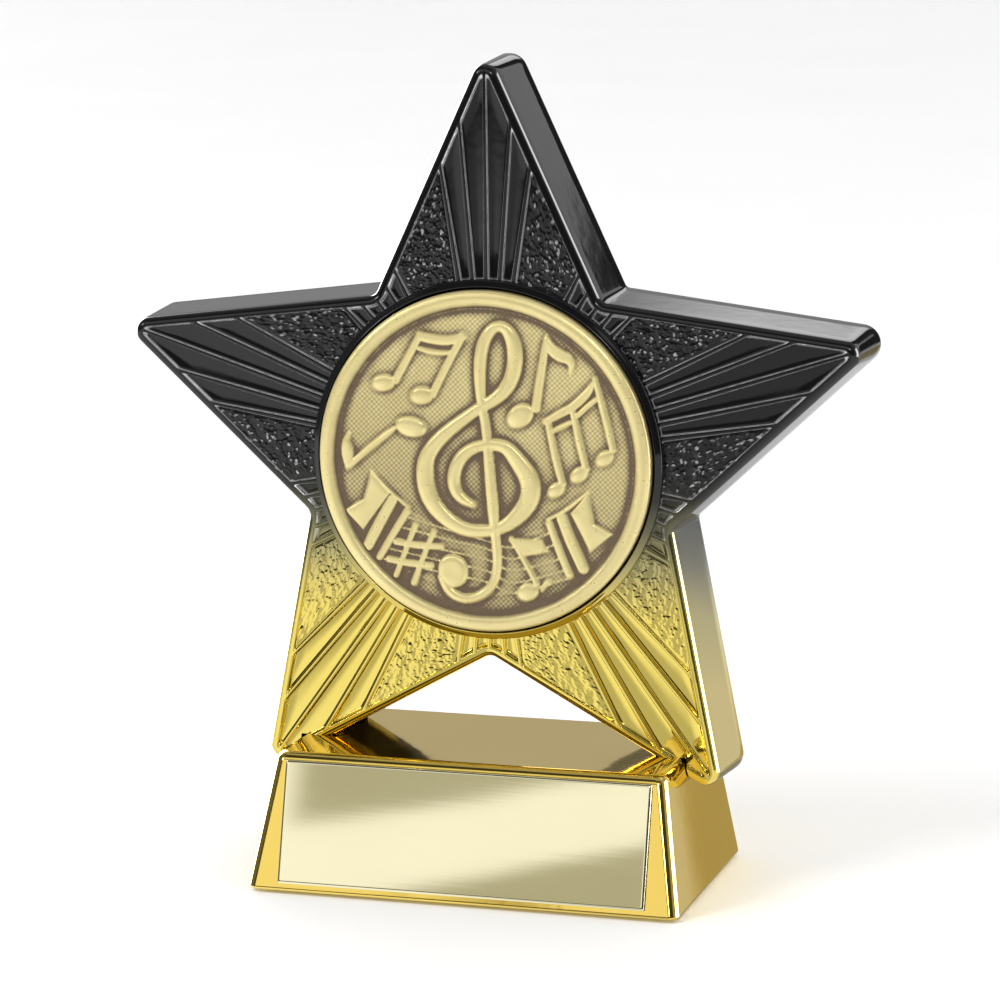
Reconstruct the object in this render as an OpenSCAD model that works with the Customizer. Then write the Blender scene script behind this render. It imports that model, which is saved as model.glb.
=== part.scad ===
// Star trophy: a thick five-pointed star with a round metal centre disc, standing astride a
// low wedge-sided base that carries an engraving plate.
// Millimetres. +X is to the right of a person facing the star, +Y is away from that person,
// +Z is up. The origin is the middle of the underside of the base.

/* [Star] */
// Height of the star's centre above the standing surface
star_cz = 62.7; // [62:0.1:63.5]
// Centre to the sharp point of an arm, on the front outline
star_r = 59.8; // [59:0.1:60.5]
// Centre to the sharp inner corner between two arms, on the front outline
notch_r = 28.9; // [28.6:0.1:29.4]
// Radius that rounds the points of the arms
tip_round = 2; // [1.5:0.1:2.4]
// Radius that rounds the inner corners
notch_round = 1.6; // [1.2:0.1:2]
// Depth of the star from its front outline to its back
star_depth = 13.3; // [12.5:0.1:14]
// How far the side walls lean outwards between front and back
star_flare = 0.85; // [0.6:0.05:1]
// Radius of the rounded edge along the front outline
star_bevel = 1; // [0.8:0.1:1.1]
// Thickness of the star's side walls
star_wall = 2; // [1.8:0.1:2.2]
// Width of the raised rim inside the front outline
rim_w = 1.3; // [1.2:0.1:1.6]
// Depth of the sunken panels between the raised ribs
panel_sink = 0.7; // [0.5:0.1:0.8]

/* [Rays] */
// Width of one raised ray
ray_w = 0.7; // [0.6:0.05:0.8]
// Angle between neighbouring rays of one fan
ray_step = 4.5; // [4.3:0.1:4.7]

/* [Centre disc] */
// Diameter of the centre disc
disc_d = 50; // [49.6:0.1:50.2]
// Thickness of the centre disc at its rim
disc_t = 2.5; // [2.3:0.1:2.6]
// Width of the disc's plain rim
disc_rim_w = 2.4; // [2:0.1:3]
// How far the middle of the disc is sunk below its rim
disc_sink = 0.6; // [0.4:0.1:0.8]
// How far the disc's rim stands in front of the star's front outline
disc_proud = 2.6; // [2.4:0.1:2.8]
// Outer diameter of the raised lip round the disc
lip_d = 52.8; // [52.4:0.1:53.2]
// How far the lip stands in front of the star's front outline
lip_proud = 1.6; // [1.2:0.1:1.8]
// Gap round the disc in its pocket
disc_gap = 0.3; // [0.2:0.05:0.4]

/* [Base] */
// Width of the base along its bottom edge
base_w = 65; // [64:0.5:66]
// Depth of the base along its bottom edge
base_d = 39; // [38.5:0.5:40]
// Width of the base along its top edge
base_top_w = 58.7; // [58:0.1:59]
// Distance from the middle to the top front edge
base_top_front = 14.1; // [14:0.1:14.3]
// Distance from the middle to the top back edge
base_top_back = 16.25; // [16.2:0.05:16.4]
// Height of the top of the base above the standing surface
base_top_z = 20; // [19.8:0.1:20.2]
// Height of the shell's bottom rim above the standing surface
base_rim_z = 0.5; // [0.4:0.1:0.6]
// Wall thickness of the base shell
base_wall = 2.2; // [2:0.1:2.3]
// Rounding of the upright corners of the base
base_corner = 1.6; // [1.4:0.1:2]
// Rounding of the top edges of the base
base_edge = 1; // [0.8:0.1:1.1]

/* [Engraving plate] */
// Width of the engraving plate
plate_w = 55.2; // [54:0.2:56]
// Height of the engraving plate, measured along the slope
plate_h = 18; // [17.6:0.1:18.2]
// Thickness of the engraving plate
plate_t = 0.5; // [0.4:0.1:0.6]

/* [Inside the base] */
// Width of the ballast weight
ballast_w = 38; // [34:1:40]
// Depth of the ballast weight
ballast_d = 19; // [17:1:20]
// Height of the ballast weight
ballast_h = 10; // [8:0.5:11]
// Thickness of the bottom plate
bottom_t = 1.8; // [1.6:0.1:2]
// Thickness of the felt pad
felt_t = 1; // [0.9:0.1:1.1]

/* [Hidden] */
eps = 0.01;

// Where the star's front outline and its back lie
star_y0 = -3.2;
star_y1 = star_y0 + star_depth;
// Distance from the centre to each straight edge of the front outline
edge_len = sqrt(star_r * star_r + notch_r * notch_r - 2 * star_r * notch_r * cos(36));
apothem = star_r * notch_r * sin(36) / edge_len;
// Front wall: the sunken panel level, and the inside of the wall
panel_y = star_y0 + panel_sink;
face_in_y = panel_y + 2;
// The back panel closes the shell from behind and sits just under its back edge
back_t = 1.8;
back_y1 = star_y1 - 0.2;
back_y0 = back_y1 - back_t;
ledge_w = 1.1;
// Pins on the back panel and the sockets they enter
pin_ring_r = 36;
pin_r = 1.5;
// Screws that hold the star to the base, one under each foot
fix_x = 27;
fix_y = 3.45;
fix_seat_z = 9;
fix_top_z = 30;
// Disc and pocket
disc_y0 = star_y0 - disc_proud;
disc_y1 = disc_y0 + disc_t;
glue_t = 0.5;
pocket_y = disc_y1 + glue_t;
// Base
base_h = base_top_z - base_rim_z;
slope_f = atan((base_d / 2 - base_top_front) / base_h);
slope_len = base_h / cos(slope_f);
ceiling_z = base_top_z - base_wall;
bottom_z0 = felt_t;
bottom_z1 = felt_t + bottom_t;
plate_screw_at = [[24, -8.6], [24, 11.1]];
ballast_y = 1.2;
foam_t = 1.2;

BLACK = [0.06, 0.06, 0.065];
GOLD = [0.83, 0.66, 0.22];

// ---- outlines -------------------------------------------------------------------------

function unit(v) = v / norm(v);
function turn(d) = d > 180 ? d - 360 : d < -180 ? d + 360 : d;

// Arc of n steps that rounds the corner p between its neighbours q and s
function rounded(p, q, s, rr, n) =
    let (u = unit(q - p), v = unit(s - p), half = acos(u * v) / 2,
         c = p + unit(u + v) * (rr / sin(half)),
         a = p + u * (rr / tan(half)) - c, b = p + v * (rr / tan(half)) - c,
         a0 = atan2(a[1], a[0]), da = turn(atan2(b[1], b[0]) - a0))
    [for (i = [0:n]) c + rr * [cos(a0 + da * i / n), sin(a0 + da * i / n)]];

function star_corner(k) =
    let (a = 90 + 36 * k, rad = k % 2 == 0 ? star_r : notch_r) rad * [cos(a), sin(a)];

// Star outline whose straight edges lie at distance ap from the centre. Its rounded corners
// keep their middles, so that the gap to the front outline is the same all round.
function star_outline(ap) =
    let (s = ap / apothem, g = ap - apothem, tip = max(0.3, tip_round + g) / s,
         notch = max(0.3, notch_round - g) / s)
    [for (k = [0:9]) each [for (p = rounded(star_corner(k), star_corner(k + 9),
        star_corner(k + 1), k % 2 == 0 ? tip : notch, 5)) p * s]];

// The same outline as points in space, at depth y
function star_ring(ap, y) = [for (p = star_outline(ap)) [p[0], y, p[1] + star_cz]];

// Distance of the outer edges from the centre at depth y
function flare_at(y) = apothem + star_flare * (y - star_y0) / star_depth;

// Rectangle with rounded corners, from x0, y0 to x1, y1
function rrect(x0, x1, y0, y1, rr, n) =
    [for (c = [[x1 - rr, y1 - rr, 0], [x0 + rr, y1 - rr, 90], [x0 + rr, y0 + rr, 180],
        [x1 - rr, y0 + rr, 270]]) for (i = [0:n])
        [c[0] + rr * cos(c[2] + 90 * i / n), c[1] + rr * sin(c[2] + 90 * i / n)]];

// Outline of the base at height z, moved inwards by g
function base_ring(z, g, rr) =
    let (t = (z - base_rim_z) / base_h,
         hw = base_w / 2 + (base_top_w / 2 - base_w / 2) * t - g,
         yf = -base_d / 2 + (base_d / 2 - base_top_front) * t + g,
         yb = base_d / 2 + (base_top_back - base_d / 2) * t - g)
    [for (p = rrect(-hw, hw, yf, yb, rr, 4)) [p[0], p[1], z]];

// Closed solid through rings of equally many points, counter-clockwise about its axis
module loft(rings) {
    n = len(rings[0]);
    m = len(rings);
    polyhedron(
        points = [for (r = rings) each r],
        faces = concat(
            [[for (i = [0:n - 1]) i]],
            [[for (i = [n - 1:-1:0]) (m - 1) * n + i]],
            [for (j = [0:m - 2]) for (i = [0:n - 1])
                [j * n + i, (j + 1) * n + i, (j + 1) * n + (i + 1) % n, j * n + (i + 1) % n]]));
}

// Cylinder along +Y from depth y0 to y1, about the point x, z
module ycyl(x, z, y0, y1, r) translate([x, y0, z]) rotate([-90, 0, 0]) cylinder(h = y1 - y0, r = r, $fn = 64);

// Straight prism of the star outline from depth y0 to y1
module star_prism(ap, y0, y1)
    translate([0, y1, star_cz]) rotate([90, 0, 0]) linear_extrude(height = y1 - y0) polygon(star_outline(ap));

// ---- star -----------------------------------------------------------------------------

module star_body() difference() {
    loft([
        star_ring(flare_at(star_y1) - 0.8, star_y1 + 0.4),
        star_ring(flare_at(star_y1 - 0.4), star_y1 - 0.4),
        star_ring(flare_at(star_y0 + star_bevel), star_y0 + star_bevel),
        star_ring(flare_at(star_y0) - star_bevel * 0.3, star_y0 + star_bevel * 0.3),
        star_ring(flare_at(star_y0) - star_bevel * 1.7, star_y0 - star_bevel * 0.3)]);
    translate([-80, star_y1, 0]) cube([160, 5, 140]);
    translate([-80, star_y0 - 5, 0]) cube([160, 5, 140]);
}

module star_hollow() loft([
    star_ring(flare_at(back_y0) - star_wall, back_y0 + 0.05),
    star_ring(flare_at(face_in_y) - star_wall, face_in_y)]);

// Outline of the sunken panels: inside the rim and outside the lip, with the rays left out.
// Fans of five rays run along every arm and towards every inner corner.
module panel_outline() difference() {
    polygon(star_outline(apothem - rim_w));
    circle(r = lip_d / 2 + 0.3, $fn = 128);
    for (k = [0:9]) for (i = [-2:2])
        rotate(90 + 36 * k + ray_step * i) translate([20, -ray_w / 2]) square([45, ray_w]);
}

// Everything that stays solid inside the shell
module star_inside() {
    // ring and struts that stiffen the front wall
    difference() {
        ycyl(0, star_cz, face_in_y - 1, back_y0 - 0.4, 20);
        ycyl(0, star_cz, face_in_y - 2, back_y0 + 1, 18.4);
    }
    for (k = [0:4]) translate([0, 0, star_cz]) rotate([0, 72 * k, 0])
        translate([-0.75, face_in_y - 1, 19]) cube([1.5, back_y0 + 0.1 - face_in_y, pin_ring_r - 21]);
    // sockets for the pins of the back panel
    for (k = [0:4]) let (a = 90 + 72 * k)
        ycyl(pin_ring_r * cos(a), star_cz + pin_ring_r * sin(a), face_in_y - 1, back_y0 - 0.1, 3.2);
    // solid feet and the bosses that the fixing screws enter
    for (s = [-1, 1]) {
        translate([s * 30 - 12, star_y0, 10]) cube([24, 16, 12.5]);
        translate([s * fix_x, fix_y, 20]) cylinder(h = fix_top_z + 1.2 - 20, r = 3.1, $fn = 64);
    }
}

module star_front_shell() color(BLACK) difference() {
    union() {
        star_body();
        // raised lip round the disc
        ycyl(0, star_cz, star_y0 - lip_proud, star_y0 + 0.4, lip_d / 2);
    }
    difference() {
        star_hollow();
        star_inside();
    }
    // seat of the back panel
    star_prism(flare_at(back_y0) - ledge_w, back_y0, star_y1 + 1);
    // sunken panels
    translate([0, panel_y, star_cz]) rotate([90, 0, 0]) linear_extrude(height = 3) panel_outline();
    // pocket for the disc
    ycyl(0, star_cz, star_y0 - 5, pocket_y, disc_d / 2 + disc_gap);
    // bores of the pin sockets
    for (k = [0:4]) let (a = 90 + 72 * k)
        ycyl(pin_ring_r * cos(a), star_cz + pin_ring_r * sin(a), 2.6, back_y0 + 0.2, pin_r + 0.06);
    // pilot bores for the fixing screws
    for (s = [-1, 1]) translate([s * fix_x, fix_y, 10]) cylinder(h = fix_top_z - 10, r = 1.05, $fn = 64);
    // seat on the base: the feet stand on its top and reach down over its sides
    saddle();
}

// Space that the base takes out of the star's feet
module saddle() loft([
    [for (p = rrect(-base_w / 2 - 0.15, base_w / 2 + 0.15, -base_d / 2, base_d / 2, 0.5, 2)) [p[0], p[1], base_rim_z]],
    [for (p = rrect(-base_top_w / 2 - 0.15, base_top_w / 2 + 0.15, -base_top_front, base_top_back, 0.5, 2)) [p[0], p[1], base_top_z]]]);

module star_back_panel() color(BLACK) difference() {
    union() {
        star_prism(flare_at(back_y0) - ledge_w - 0.12, back_y0, back_y1);
        for (k = [0:4]) let (a = 90 + 72 * k)
            ycyl(pin_ring_r * cos(a), star_cz + pin_ring_r * sin(a), 3.2, back_y0 + 0.5, pin_r);
    }
    saddle();
}

// ---- disc -----------------------------------------------------------------------------

module medal_disc() color([0.62, 0.52, 0.28]) translate([0, 0, star_cz]) rotate([90, 0, 0])
    translate([0, 0, -disc_y1]) rotate_extrude($fn = 128) polygon([
        [0, 0], [disc_d / 2, 0], [disc_d / 2, disc_t - 0.35], [disc_d / 2 - 0.35, disc_t],
        [disc_d / 2 - disc_rim_w + 0.3, disc_t], [disc_d / 2 - disc_rim_w - 0.1, disc_t - disc_sink],
        [0, disc_t - disc_sink]]);

module medal_adhesive_pad() color([0.9, 0.9, 0.88])
    ycyl(0, star_cz, disc_y1, pocket_y, 21);

// ---- base -----------------------------------------------------------------------------

module base_outer() loft(concat(
    [base_ring(base_rim_z, 0.4, base_corner), base_ring(base_rim_z + 0.4, 0, base_corner)],
    [for (i = [0:4]) let (a = 22.5 * i)
        base_ring(base_top_z - base_edge + base_edge * sin(a), base_edge * (1 - cos(a)), base_corner)]));

module base_inner() loft([base_ring(base_rim_z - 1, base_wall, 0.8), base_ring(ceiling_z, base_wall, 0.8)]);

module base_shell() color(GOLD) difference() {
    union() {
        difference() {
            base_outer();
            base_inner();
        }
        // posts that carry the feet of the star
        intersection() {
            base_outer();
            for (s = [-1, 1]) translate([s * 27.8 - 5, fix_y - 5, bottom_z1]) cube([10, 10, 16]);
        }
        // bosses for the screws of the bottom plate
        for (s = [-1, 1]) for (p = plate_screw_at)
            translate([s * p[0], p[1], bottom_z1]) cylinder(h = ceiling_z - bottom_z1 + 0.5, r = 2.6, $fn = 64);
        // fence that keeps the ballast in place
        difference() {
            translate([-ballast_w / 2 - 1.6, ballast_y - ballast_d / 2 - 1.6, ceiling_z - 6]) cube([ballast_w + 3.2, ballast_d + 3.2, 6.4]);
            translate([-ballast_w / 2 - 0.2, ballast_y - ballast_d / 2 - 0.2, ceiling_z - 7]) cube([ballast_w + 0.4, ballast_d + 0.4, 7]);
        }
    }
    for (s = [-1, 1]) {
        translate([s * fix_x, fix_y, 0]) cylinder(h = fix_seat_z, r = 2.7, $fn = 64);
        translate([s * fix_x, fix_y, 0]) cylinder(h = base_top_z + 1, r = 1.4, $fn = 64);
        for (p = plate_screw_at) translate([s * p[0], p[1], 0]) cylinder(h = 11.5, r = 1.05, $fn = 64);
    }
}

// Places its children on the front slope, x to the right, y up the slope, z out of it
module on_slope() translate([0, -base_d / 2, base_rim_z]) rotate([90 - slope_f, 0, 0]) translate([0, slope_len / 2, 0]) children();

module engraving_plate_adhesive() color([0.92, 0.92, 0.9]) on_slope()
    translate([-plate_w / 2 + 1.5, -plate_h / 2 + 1.5, 0]) cube([plate_w - 3, plate_h - 3, 0.15]);

module engraving_plate() color([0.90, 0.86, 0.66]) on_slope() translate([0, 0, 0.15]) loft([
    [for (p = rrect(-plate_w / 2, plate_w / 2, -plate_h / 2, plate_h / 2, 0.25, 2)) [p[0], p[1], 0]],
    [for (p = rrect(-plate_w / 2, plate_w / 2, -plate_h / 2, plate_h / 2, 0.25, 2)) [p[0], p[1], plate_t - 0.2]],
    [for (p = rrect(-plate_w / 2 + 0.3, plate_w / 2 - 0.3, -plate_h / 2 + 0.3, plate_h / 2 - 0.3, 0.2, 2)) [p[0], p[1], plate_t]]]);

// Pan-headed screw pointing up, its head's bearing face at the origin
module pan_screw(len, r, head_r, head_h) union() {
    translate([0, 0, -0.1]) cylinder(h = len + 0.1 - 1, r = r, $fn = 48);
    translate([0, 0, len - 1]) cylinder(h = 1, r1 = r, r2 = 0.3, $fn = 48);
    difference() {
        translate([0, 0, -head_h]) cylinder(h = head_h, r1 = head_r * 0.82, r2 = head_r, $fn = 48);
        for (a = [0, 90]) rotate(a) translate([-head_r * 0.55, -0.3, -head_h - 1]) cube([head_r * 1.1, 0.6, 1.8]);
    }
}

module star_fixing_screws() color([0.7, 0.71, 0.72])
    for (s = [-1, 1]) translate([s * fix_x, fix_y, fix_seat_z]) pan_screw(fix_top_z - fix_seat_z - 0.6, 1.05, 2.3, 1.8);

module ballast_weight() color([0.35, 0.36, 0.37])
    translate([-ballast_w / 2, ballast_y - ballast_d / 2, ceiling_z - 1 - ballast_h]) cube([ballast_w, ballast_d, ballast_h]);

module ballast_foam_pad() color([0.16, 0.16, 0.17])
    translate([-ballast_w / 2 + 2, ballast_y - ballast_d / 2 + 2, bottom_z1])
        cube([ballast_w - 4, ballast_d - 4, ceiling_z - 1 - ballast_h - bottom_z1]);

module base_bottom_plate() color([0.12, 0.12, 0.12]) difference() {
    translate([0, 0, bottom_z0]) linear_extrude(height = bottom_t) polygon(flat_ring(bottom_z1, base_wall + 0.15, 0.8));
    for (s = [-1, 1]) for (p = plate_screw_at) translate([s * p[0], p[1], 0]) {
        cylinder(h = 5, r = 1.45, $fn = 64);
        translate([0, 0, bottom_z0 - eps]) cylinder(h = 1.2 + eps, r1 = 2.55, r2 = 1.45, $fn = 64);
    }
}

// Flat outline of the base at height z, moved inwards by g
function flat_ring(z, g, rr) = [for (p = base_ring(z, g, rr)) [p[0], p[1]]];

// Countersunk screws, heads level with the underside of the bottom plate
module bottom_plate_screws() color([0.7, 0.71, 0.72])
    for (s = [-1, 1]) for (p = plate_screw_at) translate([s * p[0], p[1], bottom_z0]) difference() {
        rotate_extrude($fn = 48) polygon([[0, 0], [2.4, 0], [2.4, 0.12], [1.25, 1.25], [1.05, 1.9], [1.05, 8.2], [0.3, 9.2], [0, 9.2]]);
        for (a = [0, 90]) rotate(a) translate([-1.2, -0.28, -1]) cube([2.4, 0.56, 1.7]);
    }

module base_felt_pad() color([0.1, 0.12, 0.11])
    linear_extrude(height = felt_t) polygon(flat_ring(felt_t, base_wall + 0.35, 1.2));

// ---- parts ----------------------------------------------------------------------------

star_front_shell();
star_back_panel();
medal_disc();
medal_adhesive_pad();
base_shell();
engraving_plate();
engraving_plate_adhesive();
star_fixing_screws();
ballast_weight();
ballast_foam_pad();
base_bottom_plate();
bottom_plate_screws();
base_felt_pad();
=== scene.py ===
import math

import bmesh
import bpy
import numpy as np
from mathutils import Matrix, Vector


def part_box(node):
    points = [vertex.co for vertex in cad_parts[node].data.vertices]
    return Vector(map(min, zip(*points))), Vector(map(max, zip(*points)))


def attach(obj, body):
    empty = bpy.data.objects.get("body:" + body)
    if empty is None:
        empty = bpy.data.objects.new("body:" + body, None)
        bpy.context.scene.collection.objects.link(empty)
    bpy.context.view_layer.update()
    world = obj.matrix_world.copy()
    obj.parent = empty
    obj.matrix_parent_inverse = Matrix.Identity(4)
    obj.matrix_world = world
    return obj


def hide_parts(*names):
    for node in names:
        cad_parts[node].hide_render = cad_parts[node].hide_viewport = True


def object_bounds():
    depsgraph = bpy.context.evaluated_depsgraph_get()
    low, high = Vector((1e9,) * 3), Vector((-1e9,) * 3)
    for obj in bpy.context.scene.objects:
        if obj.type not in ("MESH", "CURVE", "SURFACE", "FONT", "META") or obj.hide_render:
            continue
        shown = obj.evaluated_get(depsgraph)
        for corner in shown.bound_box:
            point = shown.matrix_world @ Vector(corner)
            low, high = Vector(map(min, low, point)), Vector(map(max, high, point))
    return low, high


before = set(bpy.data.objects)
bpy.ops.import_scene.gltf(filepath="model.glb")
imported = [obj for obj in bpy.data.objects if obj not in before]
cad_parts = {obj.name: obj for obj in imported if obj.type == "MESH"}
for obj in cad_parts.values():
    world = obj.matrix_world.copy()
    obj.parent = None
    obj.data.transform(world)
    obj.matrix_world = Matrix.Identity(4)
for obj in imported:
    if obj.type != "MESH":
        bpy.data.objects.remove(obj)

cad_lo, cad_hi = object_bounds()

# ---------------------------------------------------------------------------------------
# Sizes, in millimetres, as in the CAD
# ---------------------------------------------------------------------------------------
MM = 0.001
_lo, _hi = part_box("medal_disc")
CZ = round((_lo.z + _hi.z) / 2 / MM, 3)          # height of the star's centre
Y0 = round(_lo.y / MM, 3) + 2.6                  # front outline plane of the star
DEPTH, FLARE = 13.3, 0.85
R_TIP, R_NOTCH = 59.8, 28.9
TIP_R, NOTCH_R = 2.0, 1.6
RIM = 1.15                                       # width of the rounded rim round the panels
BEND = 1.05                                      # radius of the front edge
LIP_R = 26.4
FLOOR = 0.50                                     # depth of the channels between the rays
D2R = math.pi / 180
rng = np.random.default_rng(7)


def sstep(x, a, b):
    t = np.clip((x - a) / (b - a), 0, 1)
    return t * t * (3 - 2 * t)


def unit(v):
    return v / np.linalg.norm(v, axis=-1, keepdims=True)


def outward(me):
    """Turn every face of a closed mesh so that its normal points out."""
    bm = bmesh.new()
    bm.from_mesh(me)
    bmesh.ops.recalc_face_normals(bm, faces=bm.faces)
    bm.to_mesh(me)
    bm.free()
    me.update()


def build(name, verts, faces, mat, smooth=True, sharp=None, mats=None):
    """A mesh object from points in millimetres."""
    me = bpy.data.meshes.new(name)
    me.from_pydata((np.asarray(verts, float) * MM).tolist(), [], faces)
    me.validate()
    me.update()
    outward(me)
    if smooth:
        me.polygons.foreach_set("use_smooth", [True] * len(me.polygons))
        if sharp:
            me.set_sharp_from_angle(angle=sharp * D2R)
    ob = bpy.data.objects.new(name, me)
    bpy.context.scene.collection.objects.link(ob)
    me.materials.append(mat)
    return ob


def zip_rings(ia, ta, ib, tb, closed=False):
    """Triangles between two rows of vertices whose parameters rise; ia lies to the left of ib."""
    ia, ib, ta, tb = list(ia), list(ib), list(ta), list(tb)
    if closed:
        ia, ta = ia + [ia[0]], ta + [ta[0] + closed]
        ib, tb = ib + [ib[0]], tb + [tb[0] + closed]
    out, i, j = [], 0, 0
    while i < len(ia) - 1 or j < len(ib) - 1:
        if j == len(ib) - 1 or (i < len(ia) - 1 and ta[i + 1] <= tb[j + 1]):
            out.append((ia[i], ib[j], ia[i + 1]))
            i += 1
        else:
            out.append((ia[i], ib[j], ib[j + 1]))
            j += 1
    return out


def ring_faces(a, b):
    """Quads between two closed rings of equally many vertices."""
    n = len(a)
    return [(int(a[i]), int(b[i]), int(b[(i + 1) % n]), int(a[(i + 1) % n])) for i in range(n)]


# ---------------------------------------------------------------------------------------
# Star: outline of the rim, sampled densely with its normals
# ---------------------------------------------------------------------------------------
C_TIP = R_TIP - TIP_R / math.sin(25 * D2R)
edge_len = math.sqrt(R_TIP**2 + R_NOTCH**2 - 2 * R_TIP * R_NOTCH * math.cos(36 * D2R))
APO = R_TIP * R_NOTCH * math.sin(36 * D2R) / edge_len
B_TIP = math.degrees(math.acos(APO / R_TIP))     # normal of an edge, from the arm's axis
B_NOTCH = math.degrees(math.acos(APO / R_NOTCH))
C_TIP = R_TIP - TIP_R / math.cos(B_TIP * D2R)
C_NOTCH = R_NOTCH + NOTCH_R / math.cos(B_NOTCH * D2R)


def dense_outline():
    pts, nrm = [], []
    for k in range(10):
        a = 90 + 36 * k
        d = np.array([math.cos(a * D2R), math.sin(a * D2R)])
        if k % 2 == 0:
            psi = np.linspace(a - B_TIP, a + B_TIP, 121) * D2R
            n = np.stack([np.cos(psi), np.sin(psi)], 1)
            p = d * C_TIP + n * (TIP_R - RIM)
        else:
            psi = np.linspace(a + B_NOTCH, a - B_NOTCH, 61) * D2R
            n = np.stack([np.cos(psi), np.sin(psi)], 1)
            p = d * C_NOTCH - n * (NOTCH_R + RIM)
        pts.append(p)
        nrm.append(n)
    out_p, out_n = [], []
    for k in range(10):
        out_p.append(pts[k]), out_n.append(nrm[k])
        a, b = pts[k][-1], pts[(k + 1) % 10][0]
        t = np.linspace(0, 1, 402)[1:-1, None]
        out_p.append(a + (b - a) * t)
        out_n.append(np.repeat(nrm[k][-1:], 400, 0))
    p, n = np.vstack(out_p), np.vstack(out_n)
    ang = np.unwrap(np.arctan2(p[:, 1], p[:, 0]))
    return p, n, ang / D2R


DP, DN, DA = dense_outline()
DP, DN = np.vstack([DP, DP, DP[:1]]), np.vstack([DN, DN, DN[:1]])
DA = np.concatenate([DA, DA + 360, DA[:1] + 720])
seg = np.linalg.norm(np.diff(DP, axis=0), axis=1)
turn = np.arccos(np.clip((DN[1:] * DN[:-1]).sum(1), -1, 1))


def measure(weight):
    return np.concatenate([[0], np.cumsum(seg + weight * turn)])


M25, M50 = measure(2.5), measure(5.0)


def at_measure(m, M):
    p = np.stack([np.interp(m, M, DP[:, i]) for i in (0, 1)], 1)
    n = unit(np.stack([np.interp(m, M, DN[:, i]) for i in (0, 1)], 1))
    return p, n, np.interp(m, M, DA)


def where_offset(axis_deg, off):
    """Index position on the rim curve that lies off to the left of a ray from the centre."""
    a = axis_deg * D2R
    near = np.flatnonzero(np.abs(DA - axis_deg - 0 * off) < 12)
    perp = DP[near] @ np.array([-math.sin(a), math.cos(a)])
    return np.interp(off, perp, M25[near]) if perp[0] < perp[-1] else None


# columns ---------------------------------------------------------------------------------
RIB_O = [-.43, -.40, -.36, -.31, -.26, -.225, -.18, 0, .18, .225, .26, .31, .36, .40, .43]
RIB_P = [1, .955, .76, .42, .14, .035, 0, 0, 0, .035, .14, .42, .76, .955, 1]
WIDE, NARROW = 1.32, .84         # the rays taper outwards
N_PEB, R_PEB = 70, 74
blocks = []          # each: dict(kind, start angles, end measures, profile factor)
for k in range(10):
    A = 450 + 36 * k
    th, me_, pf, low = [], [], [], []
    for i in range(-2, 3):
        a = A + 4.5 * i
        for o, f in zip(RIB_O, RIB_P):
            th.append(a + math.degrees(math.asin(o * WIDE / LIP_R)))
            me_.append(where_offset(a, o * NARROW))
            pf.append(f)
            low.append((i == -2 and o < 0) or (i == 2 and o > 0))
        if i < 2:
            b = a + 4.5
            t0, t1 = th[-1], b + math.degrees(math.asin(-.43 * WIDE / LIP_R))
            m0, m1 = me_[-1], where_offset(b, -.43 * NARROW)
            n = 14 if (k % 2 == 0 and i in (-1, 0)) else 8
            for j in range(1, n):
                w = j / n
                th.append(t0 + (t1 - t0) * w)
                me_.append(m0 + (m1 - m0) * w)
                pf.append(1 + .09 * math.sin(math.pi * w))
                low.append(False)
    blocks.append(dict(kind="fan", th=np.array(th), m=np.array(me_), pf=np.array(pf), low=np.array(low)))
    a, b = A + 9, A + 27
    t0, t1 = th[-1], b + math.degrees(math.asin(-.43 * WIDE / LIP_R))
    m0, m1 = me_[-1], where_offset(b, -.43 * NARROW)
    w = np.arange(1, N_PEB) / N_PEB
    blocks.append(dict(kind="peb", th=t0 + (t1 - t0) * w, m=m0 + (m1 - m0) * w))

# pebbled texture: a jittered field of small domes ----------------------------------------
GRID = 260
cell_x = rng.uniform(.12, .88, (GRID, GRID))
cell_y = rng.uniform(.12, .88, (GRID, GRID))
cell_a = rng.uniform(.25, 1.0, (GRID, GRID))


def domes(u, v, pitch=.54):
    x, y = u / pitch + GRID / 2, v / pitch + GRID / 2
    ix, iy = np.floor(x).astype(int), np.floor(y).astype(int)
    best = np.zeros_like(x)
    for dx in (-1, 0, 1):
        for dy in (-1, 0, 1):
            jx, jy = (ix + dx) % GRID, (iy + dy) % GRID
            px, py = ix + dx + cell_x[jx, jy], iy + dy + cell_y[jx, jy]
            d2 = (x - px) ** 2 + (y - py) ** 2
            best = np.maximum(best, cell_a[jx, jy] * np.clip(1 - d2 / .62, 0, 1) ** 1.4)
    return best


def waves(u, v, seed, scale, n=10):
    r = np.random.default_rng(seed)
    out = np.zeros_like(u)
    for _ in range(n):
        a, p, s = r.uniform(0, 2 * math.pi), r.uniform(0, 2 * math.pi), r.uniform(.6, 1.6) / scale
        out += np.sin((u * math.cos(a) + v * math.sin(a)) * s * 2 * math.pi + p)
    return out / math.sqrt(n)


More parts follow.
